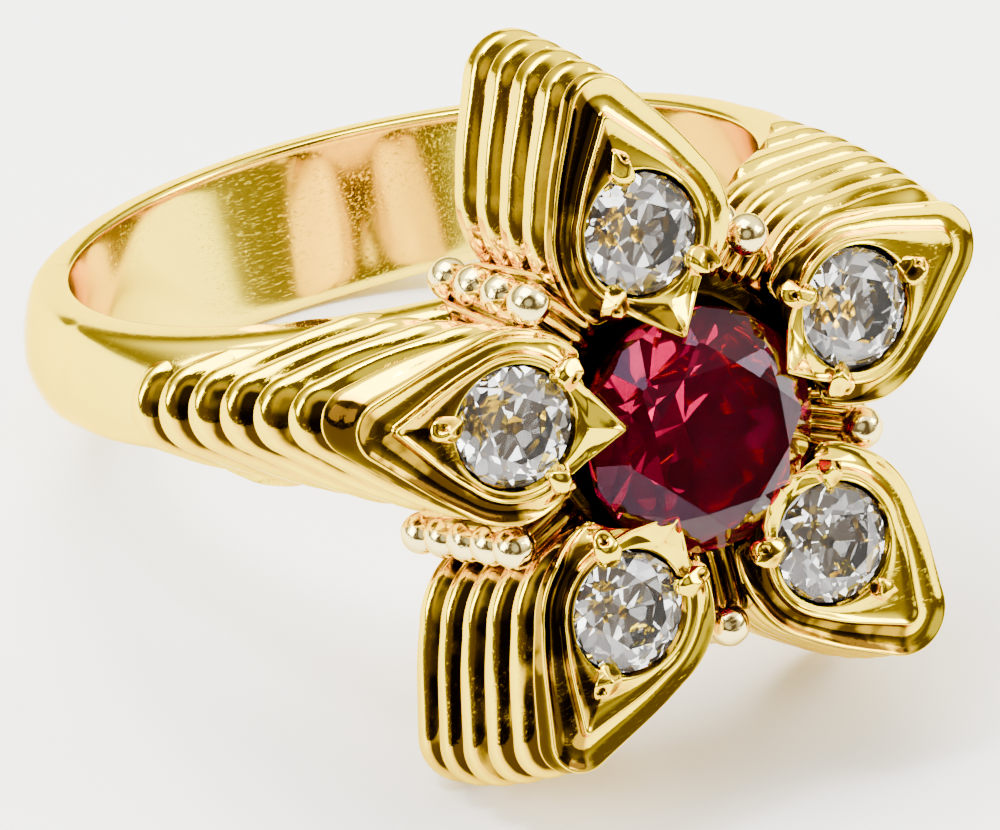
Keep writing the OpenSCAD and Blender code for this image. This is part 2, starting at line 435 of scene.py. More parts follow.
@dataclass(frozen=True)
class Petal:
    """One petal: a plate with a raised edge, a channel, a rim, and a stack of fluted ridges."""

    name: str
    angle: float
    lean: float
    ridges: int
    depth: float
    flare: float
    droop: float
    bow: float
    plate_tip_r: float = 0.1
    rim_tip_r: float = 0.85
    tip_cut: float = 0.0
    flat_crest: float = 0.17
    # How strong the painted shade is on the plate, in the flutes and at the root
    plate_shade: float = 0.0
    flute_shade: float = 1.0
    root_shade: float = 0.85
    columns: int = 208
    bunching: float = 0.33
    front_steps: int = 5
    front_passes: int = 3
    # How deep the fans' middles lie at the seat and at the hollow back, and the back's inner rings
    seat_deep: float = 0.5
    back_hollow: float = 0.12
    back_rings: tuple[float, ...] = (0.9, 0.7, 0.4, 0.15)
    stack: RidgeStack = RidgeStack()
    claw: Claw = Claw()
    # Where the painted shade lies
    painted_shade: PaintedShade = PaintedShade()

    # Mix from the seat's circle to the outline, circle, depth, side and tip growth, root share,
    # sink and bow: seat wall, dished plate, sharp edge, broad channel and rim crest
    FRONT = (
        (0, 1.05, 1.0, -0.1, -0.2, 0.15, 0, 0),
        (0, 1.44, 0.42, -0.1, -0.2, 0.15, 0, 0),
        (0, 1.47, 0.12, -0.1, -0.2, 0.15, 0, 0),
        (0.08, 1.47, 0.08, -0.1, -0.2, 0.15, 0, 0),
        (0.4, 1.47, 0.1, -0.1, -0.2, 0.15, 0, 0),
        (0.75, 1.47, 0.11, -0.1, -0.2, 0.15, 0, 0),
        (1, 1.47, 0.07, -0.1, -0.2, 0.15, 0, 0),
        (1, 1.47, 0.02, -0.04, -0.08, 0.06, 0, 0),
        (1, 1.47, 0.02, 0.0, 0.0, 0.0, 0, 0),
        (1, 1.47, 0.12, 0.02, 0.04, 0.0, 0, 0),
        (1, 1.47, 0.2, 0.05, 0.09, 0.15, 0, 0),
        (1, 1.47, 0.25, 0.13, 0.24, 0.5, 0, 0),
        (1, 1.47, 0.27, 0.21, 0.4, 0.85, 0, 0),
        (1, 1.47, 0.26, 0.29, 0.56, 0.96, 0.1, 0),
        (1, 1.47, 0.22, 0.37, 0.71, 0.97, 0.25, 0),
        (1, 1.47, 0.15, 0.45, 0.85, 0.98, 0.4, 0),
        (1, 1.47, 0.1, 0.51, 0.95, 0.98, 0.45, 0.1),
        (1, 1.47, 0.16, 0.565, 1.03, 0.99, 0.4, 0.35),
        (1, 1.47, 0.35, 0.58, 1.05, 1.0, 0.25, 1),
    )

    def turns(self) -> np.ndarray:
        """Directions round the diamond, closer together at both tips of the petal."""
        t = np.arange(self.columns) / self.columns
        return 2 * np.pi * t - self.bunching * np.sin(4 * np.pi * t)

    def flutes(self, depth: np.ndarray, pitch: float, rim_depth: float) -> np.ndarray:
        """How deep each row of the stack lies in a flute.

        A crest is a nearly flat band. Between two bands the flute sinks by half of 1 - cos(pi x),
        where x runs from 0 at the band's edge to 1 midway, and the last one is shallow.

        Args:
            depth: The depth of each row.
            pitch: The depth of one ridge.
            rim_depth: The depth at which the stack starts.

        Returns:
            0 on a crest and 1 at the bottom of a flute.
        """
        stack = self.stack
        places = rim_depth + (np.arange(self.ridges) + stack.crest_place) * pitch
        crests = np.concatenate([[rim_depth + stack.first_crest], places])
        spots = np.append(crests, crests[-1] + pitch)
        phase = np.interp(depth, spots, np.arange(len(spots)))
        away = 2 * np.abs(phase - np.round(phase))
        x = np.clip((away - self.flat_crest) / (1 - self.flat_crest), 0, 1)
        flute = (1 - stack.crest_fall) * (0.5 - 0.5 * np.cos(np.pi * x))
        flute = flute + stack.crest_fall * away**2
        last = ramp(depth, *(crests[-1] + v for v in stack.last_fade))
        return flute * (1 - stack.last_cut * last)

    def rows(self, star: Star) -> Rows:
        """Works out the rows of the skin: the eased FRONT table, and the stack behind it.

        Args:
            star: The sizes that the petals share.

        Returns:
            The rows as columns of values.
        """
        stack, painted_shade, end = self.stack, self.painted_shade, self.depth
        table = rounded(np.array(self.FRONT), self.front_steps, self.front_passes).T
        mix, seat_r, front, grow, tip_grow, root, sink, bow = table
        pitch = (end - star.rim_depth) / (self.ridges + stack.spare)
        depth = np.linspace(star.rim_depth, end, stack.steps * (self.ridges + 1) + 1)[1:]
        share = (depth - star.rim_depth) / (end - star.rim_depth)
        flute = self.flutes(depth, pitch, star.rim_depth)
        closing = ramp(depth, end - stack.closing_from * pitch, end + stack.closing_past)
        closing = stack.closing * closing**stack.closing_power
        # Where painted shade lies on the plate and in the channel
        plate = ramp(mix, *painted_shade.plate_mix) * ramp(-grow, *painted_shade.plate_grow)
        channel = ramp(grow, *painted_shade.channel_grow) * ramp(front, *painted_shade.channel_depth)

        def both(head: np.ndarray | float, behind: np.ndarray | float) -> np.ndarray:
            """Joins the front's values and the stack's into a column; a number fills its part."""
            return np.concatenate([head + 0 * mix, behind + 0 * depth])[:, None]

        return Rows(
            mix=both(mix, 1),
            seat_r=both(seat_r, 1),
            depth=both(front, depth),
            grow=both(grow, star.rim_out - self.bow * stack.bow_narrows * share - closing),
            tip_grow=both(tip_grow, star.rim_tip_out - closing),
            root=both(
                star.plate_root + root * (star.side_root - star.plate_root),
                star.side_root + stack.root_growth * share,
            ),
            sink=both(sink, 0),
            bow=both(bow, 1 - share),
            share=both(0, share),
            groove=both(0, stack.flute_depth * pitch * flute),
            wall=both(np.sin(np.pi * np.clip(bow, 0, 1)) ** 2, 0),
            channel_shade=both(channel + self.plate_shade * plate, 0),
            flute_shade=both(0, ramp(flute, *painted_shade.flute_deep)),
            seat_shade=both(painted_shade.seat * ramp(-mix, *painted_shade.seat_mix), 0),
        )

    def outline(self, star: Star, rows: Rows, a: np.ndarray, slide: np.ndarray) -> np.ndarray:
        """Distance from the middle of each row to the petal's outline, before the flutes.

        Args:
            star: The sizes that the petals share.
            rows: The rows of the skin.
            a: Angle from the outer tip, from 0 to pi.
            slide: How far out each row's middle lies.

        Returns:
            The distance for each row and direction.
        """
        inner = slide - rows.root
        r = star.plate_half_w + rows.grow
        spread = np.clip(rows.tip_grow / star.rim_tip_out, 0, 1)
        t = self.plate_tip_r + (self.rim_tip_r - self.plate_tip_r) * spread
        t = t + self.stack.tip_growth * rows.share
        out = star.plate_tip - star.diamond_reach + rows.tip_grow - self.tip_cut * spread
        flat_end = np.minimum(r, inner / np.maximum(0.01, -np.cos(a)))
        inner_tip = np.maximum(inner, r + 0.001)
        pointed = tip_reach(np.pi - a, r, self.claw.pointed_r + 0 * r, inner_tip, star.side_bow)
        near = np.where(inner > r, pointed, flat_end)
        return np.where(a <= np.pi / 2, tip_reach(a, r, t, out, star.side_bow), near)

    def grid(self, star: Star) -> tuple[np.ndarray, np.ndarray]:
        """The petal's surface as a function of row and direction, in the ring's frame.

        A point lies at the row's depth, at the outline's distance from the diamond in its direction,
        less the flute. Depth grows by the bow at the outer tip and by the lean with distance, and
        shrinks where the claw curls up over the ruby. A roof-like crease runs down the claw. Where
        the bow opens a wall behind the rim's tip, the wall sinks by one more flute.

        Args:
            star: The sizes that the petals share.

        Returns:
            The grid of points and the grid of painted-shade mask values.
        """
        rows, stack, claw = self.rows(star), self.stack, self.claw
        turn = self.turns()[None, :]
        a = np.abs(np.where(turn > np.pi, turn - 2 * np.pi, turn))
        deg = np.degrees(a)
        slide = star.diamond_reach + self.flare * np.sin(np.pi / 2 * rows.share)
        bulge = self.bow * np.maximum(0, np.cos(turn)) ** 3
        wall = rows.wall * bulge
        fade = np.clip((claw.flutes_end - deg) / claw.flutes_fade, 0, 1)
        reach = self.outline(star, rows, a, slide)
        reach = reach - rows.groove * fade - stack.flute_depth * wall
        reach = rows.seat_r * (1 - rows.mix) + reach * rows.mix
        x = reach * np.cos(turn) + slide
        y = reach * np.sin(turn)
        z = rows.depth + bulge * rows.bow
        z = z + rows.sink * np.clip((deg - claw.sink_start) / claw.sink_over, 0, 1)
        z = z - claw.lift * np.maximum(0, claw.start - x)
        width = np.maximum(claw.roof_least, (x - star.plate_root) * claw.roof_slope)
        roof = np.clip(1 - np.abs(y) / width, 0, 1) * ramp(-x, *claw.roof_span)
        on_plate = np.where(rows.mix < 1, ramp(rows.mix, *claw.roof_mix), 0) * (rows.grow < 0)
        z = z - claw.roof_high * roof * on_plate
        ease = stack.droop_ease * (1 - ramp(x - slide, *stack.droop_span)) * rows.share**2
        y = y + self.droop * rows.share**stack.droop_power * (1 - ease)
        z = z + (x - star.plate_root) * math.tan(math.radians(self.lean))
        points = star.set_in(self.angle, np.stack([x, y, z], -1))
        return points, self.shade_mask(rows, points, wall, deg)

    def shade_mask(
        self, rows: Rows, points: np.ndarray, wall: np.ndarray, deg: np.ndarray
    ) -> np.ndarray:
        """The mask of painted shade, darker in flutes and channel where the outline faces the dark
        side.

        The outline's normal is its direction from one column to the next, turned by a quarter.

        Args:
            rows: The rows of the skin.
            points: The petal's grid of points.
            wall: How far each point of the wall behind the rim's tip stands back.
            deg: Degrees from the outer tip of each column.

        Returns:
            The grid of painted-shade mask values.
        """
        painted_shade = self.painted_shade
        along = np.roll(points, -1, 1) - np.roll(points, 1, 1)
        along = along / np.maximum(1e-6, np.hypot(along[..., 0], along[..., 2]))[..., None]
        x, z = points[len(points) // 2, :, 0], points[len(points) // 2, :, 2]
        way_round = np.sign(np.sum(x * np.roll(z, -1) - z * np.roll(x, -1)))
        facing = (along[..., 2] * painted_shade.side[0] - along[..., 0] * painted_shade.side[1]) * way_round
        # Painted shade and painted dark reflection on walls facing the dark side, and painted shade
        # at the seat and the root
        flutes = np.maximum(rows.flute_shade, ramp(wall, *painted_shade.tip_wall))
        mask = self.flute_shade * flutes * ramp(facing, *painted_shade.flutes)
        mask = mask + rows.channel_shade * ramp(facing, *painted_shade.channel)
        root = self.root_shade * ramp(deg, *painted_shade.root_turn) * ramp(rows.share, *painted_shade.root_share)
        return np.maximum(mask + rows.seat_shade, root * (0.5 + 0.5 * rows.flute_shade))

    def build(self, star: Star) -> Shell:
        """Builds the petal's closed skin, with its back drawn in to a slightly hollow cap.

        Args:
            star: The sizes that the petals share.

        Returns:
            The closed shell.
        """
        grid, mask = self.grid(star)
        middle = grid[-1].mean(0)
        hollow = np.array([0, -self.back_hollow, 0])
        shares = np.array(self.back_rings)[:, None, None]
        inward = middle + (grid[-1] - middle) * shares + hollow * (1 - shares**2)
        grid = np.concatenate([grid, inward])
        mask = np.concatenate([mask, np.zeros(inward.shape[:2])])
        seat = grid[0].mean(0) + np.array([0, self.seat_deep, 0])
        return skin(star.off_finger(grid), np.stack([seat, middle + hollow]), mask)


PETALS = (
    Petal(
        "top", angle=-7, lean=2.5, ridges=4, depth=5.1, flare=0.3, droop=0, bow=0,
        tip_cut=0.07, flat_crest=0.3, plate_shade=0.8, flute_shade=0.6,
    ),
    Petal(
        "upper_right", angle=74, lean=5.5, ridges=7, depth=10, flare=1.1, droop=0.7, bow=1.2,
        plate_tip_r=0.45, rim_tip_r=1.2, tip_cut=0.3, flat_crest=0.42,
    ),
    Petal(
        "lower_right", angle=145, lean=-1.5, ridges=5, depth=5.8, flare=1.25, droop=0, bow=0.3,
        plate_tip_r=0.25, rim_tip_r=1.15, tip_cut=0.25,
    ),
    Petal(
        "lower_left", angle=-145, lean=-1.5, ridges=5, depth=5.8, flare=1.25, droop=0, bow=0.3,
        tip_cut=0.02, plate_shade=0.9,
    ),
    Petal(
        "left", angle=-75.5, lean=4.5, ridges=6, depth=9.8, flare=1.0, droop=-1.15, bow=1.2,
        plate_shade=0.9,
    ),
)


@dataclass(frozen=True)
class PlateFrame:
    """The place of what is set square on a petal's leaning plate, from its diamond's middle."""

    star: Star
    petal: Petal

    def place(self, p: np.ndarray) -> np.ndarray:
        """Puts points drawn with X outward, Y across and Z up from the plate on the petal.

        They are turned by the lean about the plate's cross axis, and moved to the diamond.

        Args:
            p: Points, in millimetres from the middle of the diamond at the plate's level.

        Returns:
            The points in the ring's frame.
        """
        lean = math.radians(self.petal.lean)
        x, y, z = p[..., 0], p[..., 1], -p[..., 2]
        out = x * math.cos(lean) - z * math.sin(lean) + self.star.diamond_reach
        back = x * math.sin(lean) + z * math.cos(lean)
        back = back + (self.star.diamond_reach - self.star.plate_root) * math.tan(lean)
        return self.star.to_ring(self.petal.angle, np.stack([out, y, back], -1))


@dataclass(frozen=True)
class Prongs:
    """Three rough prongs round each diamond, raised from the plate with a graver and filed."""

    reach: float = 1.68
    radii: Triple = (0.48, 0.38, 0.35)
    sink: float = 0.08
    turns: tuple[float, ...] = (0, 135, 225)
    polar: Span = (0.08, 0.85 * math.pi)
    rows: int = 22
    columns: int = 36
    strokes: int = 11
    stroke_spread: Triple = (1, 1, 0.6)
    stroke_lift: Triple = (0, 0, 0.4)
    grazing: float = 0.3
    cuts: Span = (0.56, 0.94)
    hollow: float = 0.4
    hollow_out: Span = (0.2, 0.8)
    hollow_across: Span = (-0.6, 0.6)
    hollow_up: float = 0.7
    hollow_sharp: float = 20
    # Painted shade in the graver's hollow and in the deepest strokes
    hollow_shade: float = 1.3
    stroke_shade: float = 0.8
    stroke_deep: Span = (-0.8, -0.6)
    top_rise: float = 0.002

    def bead(self, rng: np.random.Generator) -> tuple[np.ndarray, np.ndarray]:
        """One prong: a long dome cut by random flat strokes, with a graver's hollow in its top.

        A flat stroke limits the distance along its direction, and the hollow takes off a bell that
        is the exponential of minus its sharpness times 1 less the cosine from its own direction.

        Args:
            rng: The seeded source of the strokes' directions.

        Returns:
            A grid of points round the origin from the top down, and its mask of painted shade.
        """
        unit = directions(np.linspace(*self.polar, self.rows), self.columns)
        size = np.ones(unit.shape[:2])
        for _ in range(self.strokes):
            stroke = rng.normal(size=3) * self.stroke_spread + self.stroke_lift
            toward = np.maximum(self.grazing, unit @ (stroke / np.linalg.norm(stroke)))
            size = np.minimum(size, rng.uniform(*self.cuts) / toward)
        out, across = rng.uniform(*self.hollow_out), rng.uniform(*self.hollow_across)
        spot = np.array([out, across, self.hollow_up])
        bell = np.exp(-self.hollow_sharp * (1 - unit @ (spot / np.linalg.norm(spot))))
        grid = unit * (size - self.hollow * bell)[..., None] * self.radii
        # The hollow and the deepest strokes get painted shade
        mask = self.hollow_shade * bell + self.stroke_shade * ramp(-size, *self.stroke_deep)
        return grid, np.clip(mask, 0, 1)

    def build(self, star: Star, petal: Petal, seed: int) -> Shell:
        """Builds the petal's three prongs as one set of closed shells.

        Args:
            star: The sizes that the petals share.
            petal: The petal that the prongs stand on.
            seed: The seed of their random strokes.

        Returns:
            The shells in one.
        """
        rng = np.random.default_rng(seed)
        plate = PlateFrame(star, petal)
        shells = []
        for turn in self.turns:
            grid, mask = self.bead(rng)
            grid = (grid + [self.reach, 0, -self.sink]) @ spin(turn)
            ends = middles(grid) + [[0, 0, self.top_rise], [0, 0, 0]]
            shells.append(skin(plate.place(grid), plate.place(ends), mask))
        return joined(shells)


@dataclass(frozen=True)
class GrainRow:
    """A row of round grains between two petals, on the fluted strip that carries it."""

    name: str
    angle: float
    count: int
    out: float
    depth: float
    back_out: float
    back: float
    grain_r: float = 0.51
    grain_rows: int = 18
    grain_columns: int = 26
    pole: float = 0.05
    uneven: float = 0.015
    strip_half_w: float = 0.95
    strip_steps: int = 9
    strip_passes: int = 6
    flutes: int = 5
    flute_high: float = 0.12
    crown: float = 0.1
    columns: int = 61
    # The strip's width at its start, what it gains and loses, and over which shares of its length
    narrow: float = 0.8
    widens: float = 0.2
    widening: Span = (0, 0.3)
    tapers: float = 0.4
    tapering: Span = (0.5, 1)
    # Painted shade on the flutes' crests, what their furrows add and from where, and painted shade
    # on the underside
    crest_shade: float = 0.5
    furrow_shade: float = 0.45
    furrow: Span = (0.15, 0.6)
    under_shade: float = 0.9

    def grains(self, star: Star, seed: int) -> Shell:
        """Builds the grains as slightly uneven spheres: a radius times 1 less a soft wave.

        Args:
            star: The sizes that the rows share.
            seed: The seed of the waves' directions.

        Returns:
            The grains as one set of closed shells.
        """
        rng = np.random.default_rng(seed)
        polar = np.linspace(self.pole, np.pi - self.pole, self.grain_rows)
        unit = directions(polar, self.grain_columns)
        first = np.array([self.out, 0, self.depth])
        last = np.array([self.back_out, 0, self.back])
        shells = []
        for i in range(self.count):
            spot = first + (last - first) * (i / (self.count - 1))
            axis = rng.normal(size=3)
            wave = np.cos(3 * np.pi * (unit @ (axis / np.linalg.norm(axis))))
            size = self.grain_r * (1 - self.uneven - self.uneven * wave)
            ends = np.array([[0, 0, size[0].mean()], [0, 0, -size[-1].mean()]]) + spot
            grid = star.set_in(self.angle, unit * size[..., None] + spot)
            shells.append(skin(grid, star.set_in(self.angle, ends)))
        return joined(shells)

    def strip(self, star: Star) -> Shell:
        """Builds the strip under the grains, from the ruby outward and to the back.

        Its section is a rounded box with a slightly crowned top, fluted lengthwise: the height
        rises by the absolute sine of the place across. The section follows the row's path.

        Args:
            star: The sizes that the rows share.

        Returns:
            The closed shell.
        """
        path = np.array(
            [
                [2.95, self.depth + 0.75],
                [3.35, self.depth + 0.3],
                [self.out - 0.35, self.depth + 0.1],
                [self.out - 0.1, self.depth + 0.35],
                [self.back_out - 0.12, self.back - 0.4],
                [self.back_out - 0.3, self.back + 0.2],
            ]
        )
        path = rounded(path, self.strip_steps, self.strip_passes)
        ahead = np.gradient(path, axis=0)
        ahead = ahead / np.linalg.norm(ahead, axis=1)[:, None]
        up = np.stack([ahead[:, 1], -ahead[:, 0]], -1)
        across = np.linspace(-1, 1, self.columns)
        wave = np.abs(np.sin(np.pi * self.flutes * (across + 1) / 2))
        top = np.stack([across, self.flute_high * wave - self.crown * across**2], -1)
        underside = np.array([[0.98, -0.5], [0.6, -0.7], [-0.6, -0.7], [-0.98, -0.5]])
        section = np.concatenate([top, underside])
        along = np.linspace(0, 1, len(path))
        width = self.narrow + self.widens * ramp(along, *self.widening)
        width = self.strip_half_w * (width - self.tapers * ramp(along, *self.tapering))
        side = section[None, :, 0] * width[:, None]
        spot = path[:, None, :] + section[None, :, 1, None] * up[:, None, :]
        grid = np.stack([spot[..., 0], side, spot[..., 1]], -1)
        # Painted shade: a little over the whole strip, more in the furrows and most on the underside
        mask = self.crest_shade + self.furrow_shade * ramp(1 - wave, *self.furrow)
        mask = np.append(mask, [self.under_shade] * len(underside))
        ends = star.set_in(self.angle, middles(grid))
        return skin(star.set_in(self.angle, grid), ends, mask + 0 * side)


GRAIN_ROWS = (
    GrainRow("upper_right", 31.6, 4, 4.3, 0.75, 4.4, 5.2),
    GrainRow("right", 111, 5, 4.6, 0.85, 5.7, 4.6),
    GrainRow("bottom", 180, 5, 5.1, 0.7, 5.7, 4.6),
    GrainRow("lower_left", -110.5, 5, 5.1, 1.0, 5.7, 4.6),
    GrainRow("upper_left", -42.9, 4, 5.2, 0.5, 4.6, 5.4),
)


@dataclass(frozen=True)
class Shank:
    """The band round the finger: flat inside, straight at its edges and domed outside."""

    finger_r: float = 8.25
    thick: float = 1.305
    half_w: float = 1.78
    rise: float = 0.45
    low_half_w: float = 0.75
    low_under: float = 0.7
    dip: float = 1.56
    shoulder: float = 0.78
    swell: float = 0.08
    # Slow dents of a worn outside: how high, how many round the band, and where they start
    dents: tuple[Triple, ...] = ((0.015, 5, 1), (0.01, 11, 0))
    stations: int = 256
    steps: int = 6
    passes: int = 5

    def build(self) -> Shell:
        """Builds the band as a section carried round the finger.

        The upper edge rises behind the star by a squared half cosine. The lower one dips at the
        back by a squared half cosine and again under the star, the outside swells at both sides
        and shoulders, and its lower half slopes in like a roof's eave.

        Returns:
            The closed shell.
        """
        a = np.linspace(0, 2 * np.pi, self.stations, endpoint=False)
        front, back = (1 - np.cos(a)) / 2, (1 + np.cos(a)) / 2
        high = self.half_w + self.rise * front**2
        low = self.low_half_w + self.dip * back**2 + self.low_under * front**6
        side = np.sin(a) ** 2 * np.maximum(0, -np.cos(a)) ** 0.8
        worn = sum(dent * np.sin(many * a + start) for dent, many, start in self.dents)
        r = self.finger_r + self.thick + self.shoulder * side + worn + self.swell * np.sin(a) ** 2
        inner = np.full_like(a, self.finger_r)
        spots = [
            (inner, 0 * a),
            (inner, -0.5 * low),
            (inner, -0.94 * low),
            (inner + 0.07, -low),
            (inner + 0.4, -0.93 * low),
            (r - 0.55, -0.78 * low),
            (r - 0.2, -0.5 * low),
            (r - 0.03, -0.1 * low),
            (r, 0.12 * high),
            (r - 0.1, 0.45 * high),
            (r - 0.3, 0.78 * high),
            (r - 0.55, 0.99 * high),
            (inner + 0.06, high),
            (inner, 0.94 * high),
            (inner, 0.5 * high),
        ]
        loops = np.stack([np.stack(s, -1) for s in spots])
        flat = rounded(loops.reshape(len(spots), -1), self.steps, self.passes, loop=True)
        section = flat.reshape(len(flat), self.stations, 2).transpose(1, 0, 2)
        radius = np.maximum(section[..., 0], self.finger_r)
        x, y = radius * np.sin(a)[:, None], radius * np.cos(a)[:, None]
        points = np.stack([x, y, section[..., 1]], -1).reshape(-1, 3)
        return Shell(points, quads(self.stations, len(flat), True)).outward()


@dataclass(frozen=True)
class Drum:
    """The drum behind the ruby that the petals are soldered to, with the ruby's seat in it."""

    radius: float = 3.33
    front: float = 1.14
    columns: int = 96
    steps: int = 6
    passes: int = 2
    # Painted shade in the ruby's seat and on the drum's side
    seat_shade: float = 1.0
    side_shade: float = 0.5

    def build(self, star: Star) -> Shell:
        """Builds the drum as a profile of radius and depth turned round the star's middle.

        Args:
            star: The sizes that the pieces share.

        Returns:
            The closed shell.
        """
        profile = np.array(
            [
                [0.05, 3.35],
                [1.05, 2.4],
                [2.45, self.front + 0.02],
                [self.radius - 0.06, self.front],
                [self.radius, self.front + 0.1],
                [self.radius, 3],
                [self.radius, 5.2],
                [2.4, 5.25],
                [1.2, 5.2],
            ]
        )
        dense = rounded(profile, self.steps, self.passes)
        r, depth = dense[:, :1], dense[:, 1:]
        a = np.linspace(0, 2 * np.pi, self.columns, endpoint=False)
        grid = np.stack([r * np.cos(a), depth - star.out + 0 * a, r * np.sin(a) - star.drop], -1)
        # The seat behind the ruby is darkened fully and the side by half, as painted shade
        in_seat = np.arange(len(dense)) < len(dense) // 2
        mask = np.where(in_seat, self.seat_shade, self.side_shade)[:, None] + 0 * grid[..., 0]
        return skin(star.off_finger(grid), star.off_finger(middles(grid)), mask)


def facet(angle: float, slope: float, radius: float, height: float) -> np.ndarray:
    """A facet's plane as normal and distance: it slopes down outward in a direction.

    Args:
        angle: Direction round the stone, in degrees.
        slope: How steep the facet is, in degrees; negative for the underside.
        radius: Distance from the axis to a point on it in that direction.
        height: Height of that point.

    Returns:
        Four numbers: the outward normal, and the plane's distance along it.
    """
    a, s = math.radians(angle), math.radians(abs(slope))
    x, y = math.cos(a), math.sin(a)
    normal = np.array([math.sin(s) * x, math.sin(s) * y, math.copysign(math.cos(s), slope)])
    return np.append(normal, normal @ np.array([radius * x, radius * y, height]))


# Three planes with a smaller determinant have no corner; how far a corner may lie out or off one
PARALLEL, OUTSIDE, OFF_PLANE = 1e-6, 1e-6, 3e-4


def cut_gem(planes: np.ndarray) -> tuple[np.ndarray, list[list[int]]]:
    """Cuts a stone to its facets' planes.

    Its corners are the points where three planes meet and no plane leaves outside, and a face is the
    corners on one plane in their order round its middle.

    Args:
        planes: Facet planes, one row of four numbers each.

    Returns:
        The corners and the faces.
    """
    trios = np.array(list(combinations(range(len(planes)), 3)))
    normals, dists = planes[trios][..., :3], planes[trios][..., 3]
    solid = np.abs(np.linalg.det(normals)) > PARALLEL
    corners = np.linalg.solve(normals[solid], dists[solid][..., None])[..., 0]
    inside = (corners @ planes[:, :3].T <= planes[:, 3] + OUTSIDE).all(1)
    corners = np.unique(np.round(corners[inside], 4), axis=0)
    faces = []
    for plane in planes:
        on = np.flatnonzero(np.abs(corners @ plane[:3] - plane[3]) < OFF_PLANE)
        if len(on) < 3:
            continue
        arm = corners[on] - corners[on].mean(0)
        u = np.cross(plane[:3], [0.3, 0.5, 0.8])
        u = u / np.linalg.norm(u)
        v = np.cross(plane[:3], u)
        faces.append(on[np.argsort(np.arctan2(arm @ v, arm @ u))].tolist())
    return corners, faces


class Cut(Enum):
    """How a stone is cut."""

    BRILLIANT = "brilliant"
    MIXED = "mixed"


@dataclass(frozen=True)
class Gem:
    """A cut stone on its girdle, table up at +Z: table, edge and girdle are shares of its width."""

    cut: Cut
    width: float
    table: float
    crown: float
    pavilion: float
    turn: float = 0.0
    edge: float = 0.02
    girdle: float = 0.985
    table_slope: float = 0.001
    star_slope: float = 0.62
    girdle_rise: float = 6
    short_rise: float = 2.2
    # A mixed cut's steps below: share of the girdle, share of the depth, slope and turn
    steps: tuple[tuple[float, ...], ...] = ((1.0, 0.0, 52, 22.5), (0.86, 0.2, 38.5, 0.0))

    def planes(self) -> np.ndarray:
        """The facets' planes.

        Both cuts have a table, eight crown facets, eight star facets, sixteen upper girdle facets
        and a thin girdle. The brilliant has eight long and sixteen short facets below, and the mixed
        cut has two steps of eight broad facets there.

        Returns:
            One row of four numbers a facet.
        """
        r, z = self.width / 2, self.edge * self.width
        top, table_r = z + self.crown, r * self.table
        slope = math.degrees(math.atan2(self.crown, r - table_r))
        eighth, half, small = 45.0, 22.5, 11.25
        drawn = table_r * math.cos(math.radians(half))
        rows = [facet(0, self.table_slope, 0, top)]
        for k in range(8):
            rows.append(facet(k * eighth, slope, table_r, top))
            rows.append(facet(k * eighth + half, slope * self.star_slope, drawn, top))
        for k in range(16):
            rows.append(facet(k * half + small, slope + self.girdle_rise, r * self.girdle, z))
        for k in range(16):
            rows.append(facet(k * half, 90, r * self.girdle, 0))
        if self.cut is Cut.BRILLIANT:
            down = math.degrees(math.atan2(self.pavilion - z, r))
            short = -down - self.short_rise
            rows += [facet(k * eighth, -down, r, -z) for k in range(8)]
            rows += [facet(k * half + small, short, r, -z) for k in range(16)]
        else:
            for share, depth, steep, shift in self.steps:
                height = -z - self.pavilion * depth
                rows += [facet(k * eighth + shift, -steep, r * share, height) for k in range(8)]
        return np.array(rows)

    def build(self) -> tuple[np.ndarray, list[list[int]]]:
        """Cuts the stone and turns it about its axis."""
        points, faces = cut_gem(self.planes())
        return points @ spin(self.turn), faces


@dataclass(frozen=True)
class SetStones:
    """The five diamonds in their petals and the ruby in the star's middle."""

    diamond: Gem = Gem(Cut.BRILLIANT, 2.8, table=0.56, crown=0.42, pavilion=1.27)
    diamond_turn: float = 13
    diamond_step: float = 7
    ruby: Gem = Gem(Cut.MIXED, 5.7, table=0.62, crown=0.95, pavilion=2.5, turn=22.5)
    ruby_girdle: float = 0.4
    ruby_down: float = 0.3
    ruby_side: float = 0.05

    def in_petal(self, star: Star, petal: Petal, number: int) -> Shell:
        """Builds the diamond of a petal, each turned a little further than the one before.

        Args:
            star: The sizes that the petals share.
            petal: The petal that holds it.
            number: The petal's place in the row of petals.

        Returns:
            The stone.
        """
        gem = replace(self.diamond, turn=self.diamond_turn + self.diamond_step * number)
        points, faces = gem.build()
        spots = PlateFrame(star, petal).place(points - [0, 0, star.diamond_girdle])
        return Shell(spots, faces).outward()

    def in_middle(self, star: Star) -> Shell:
        """Builds the ruby, table forward, with its girdle behind the star's level.

        Args:
            star: The sizes that the pieces share.

        Returns:
            The stone.
        """
        points, faces = self.ruby.build()
        depth = self.ruby_girdle - star.out - points[:, 2]
        height = points[:, 1] - star.drop - self.ruby_down
        spots = np.stack([points[:, 0] + self.ruby_side, depth, height], -1)
        return Shell(spots, faces).outward()


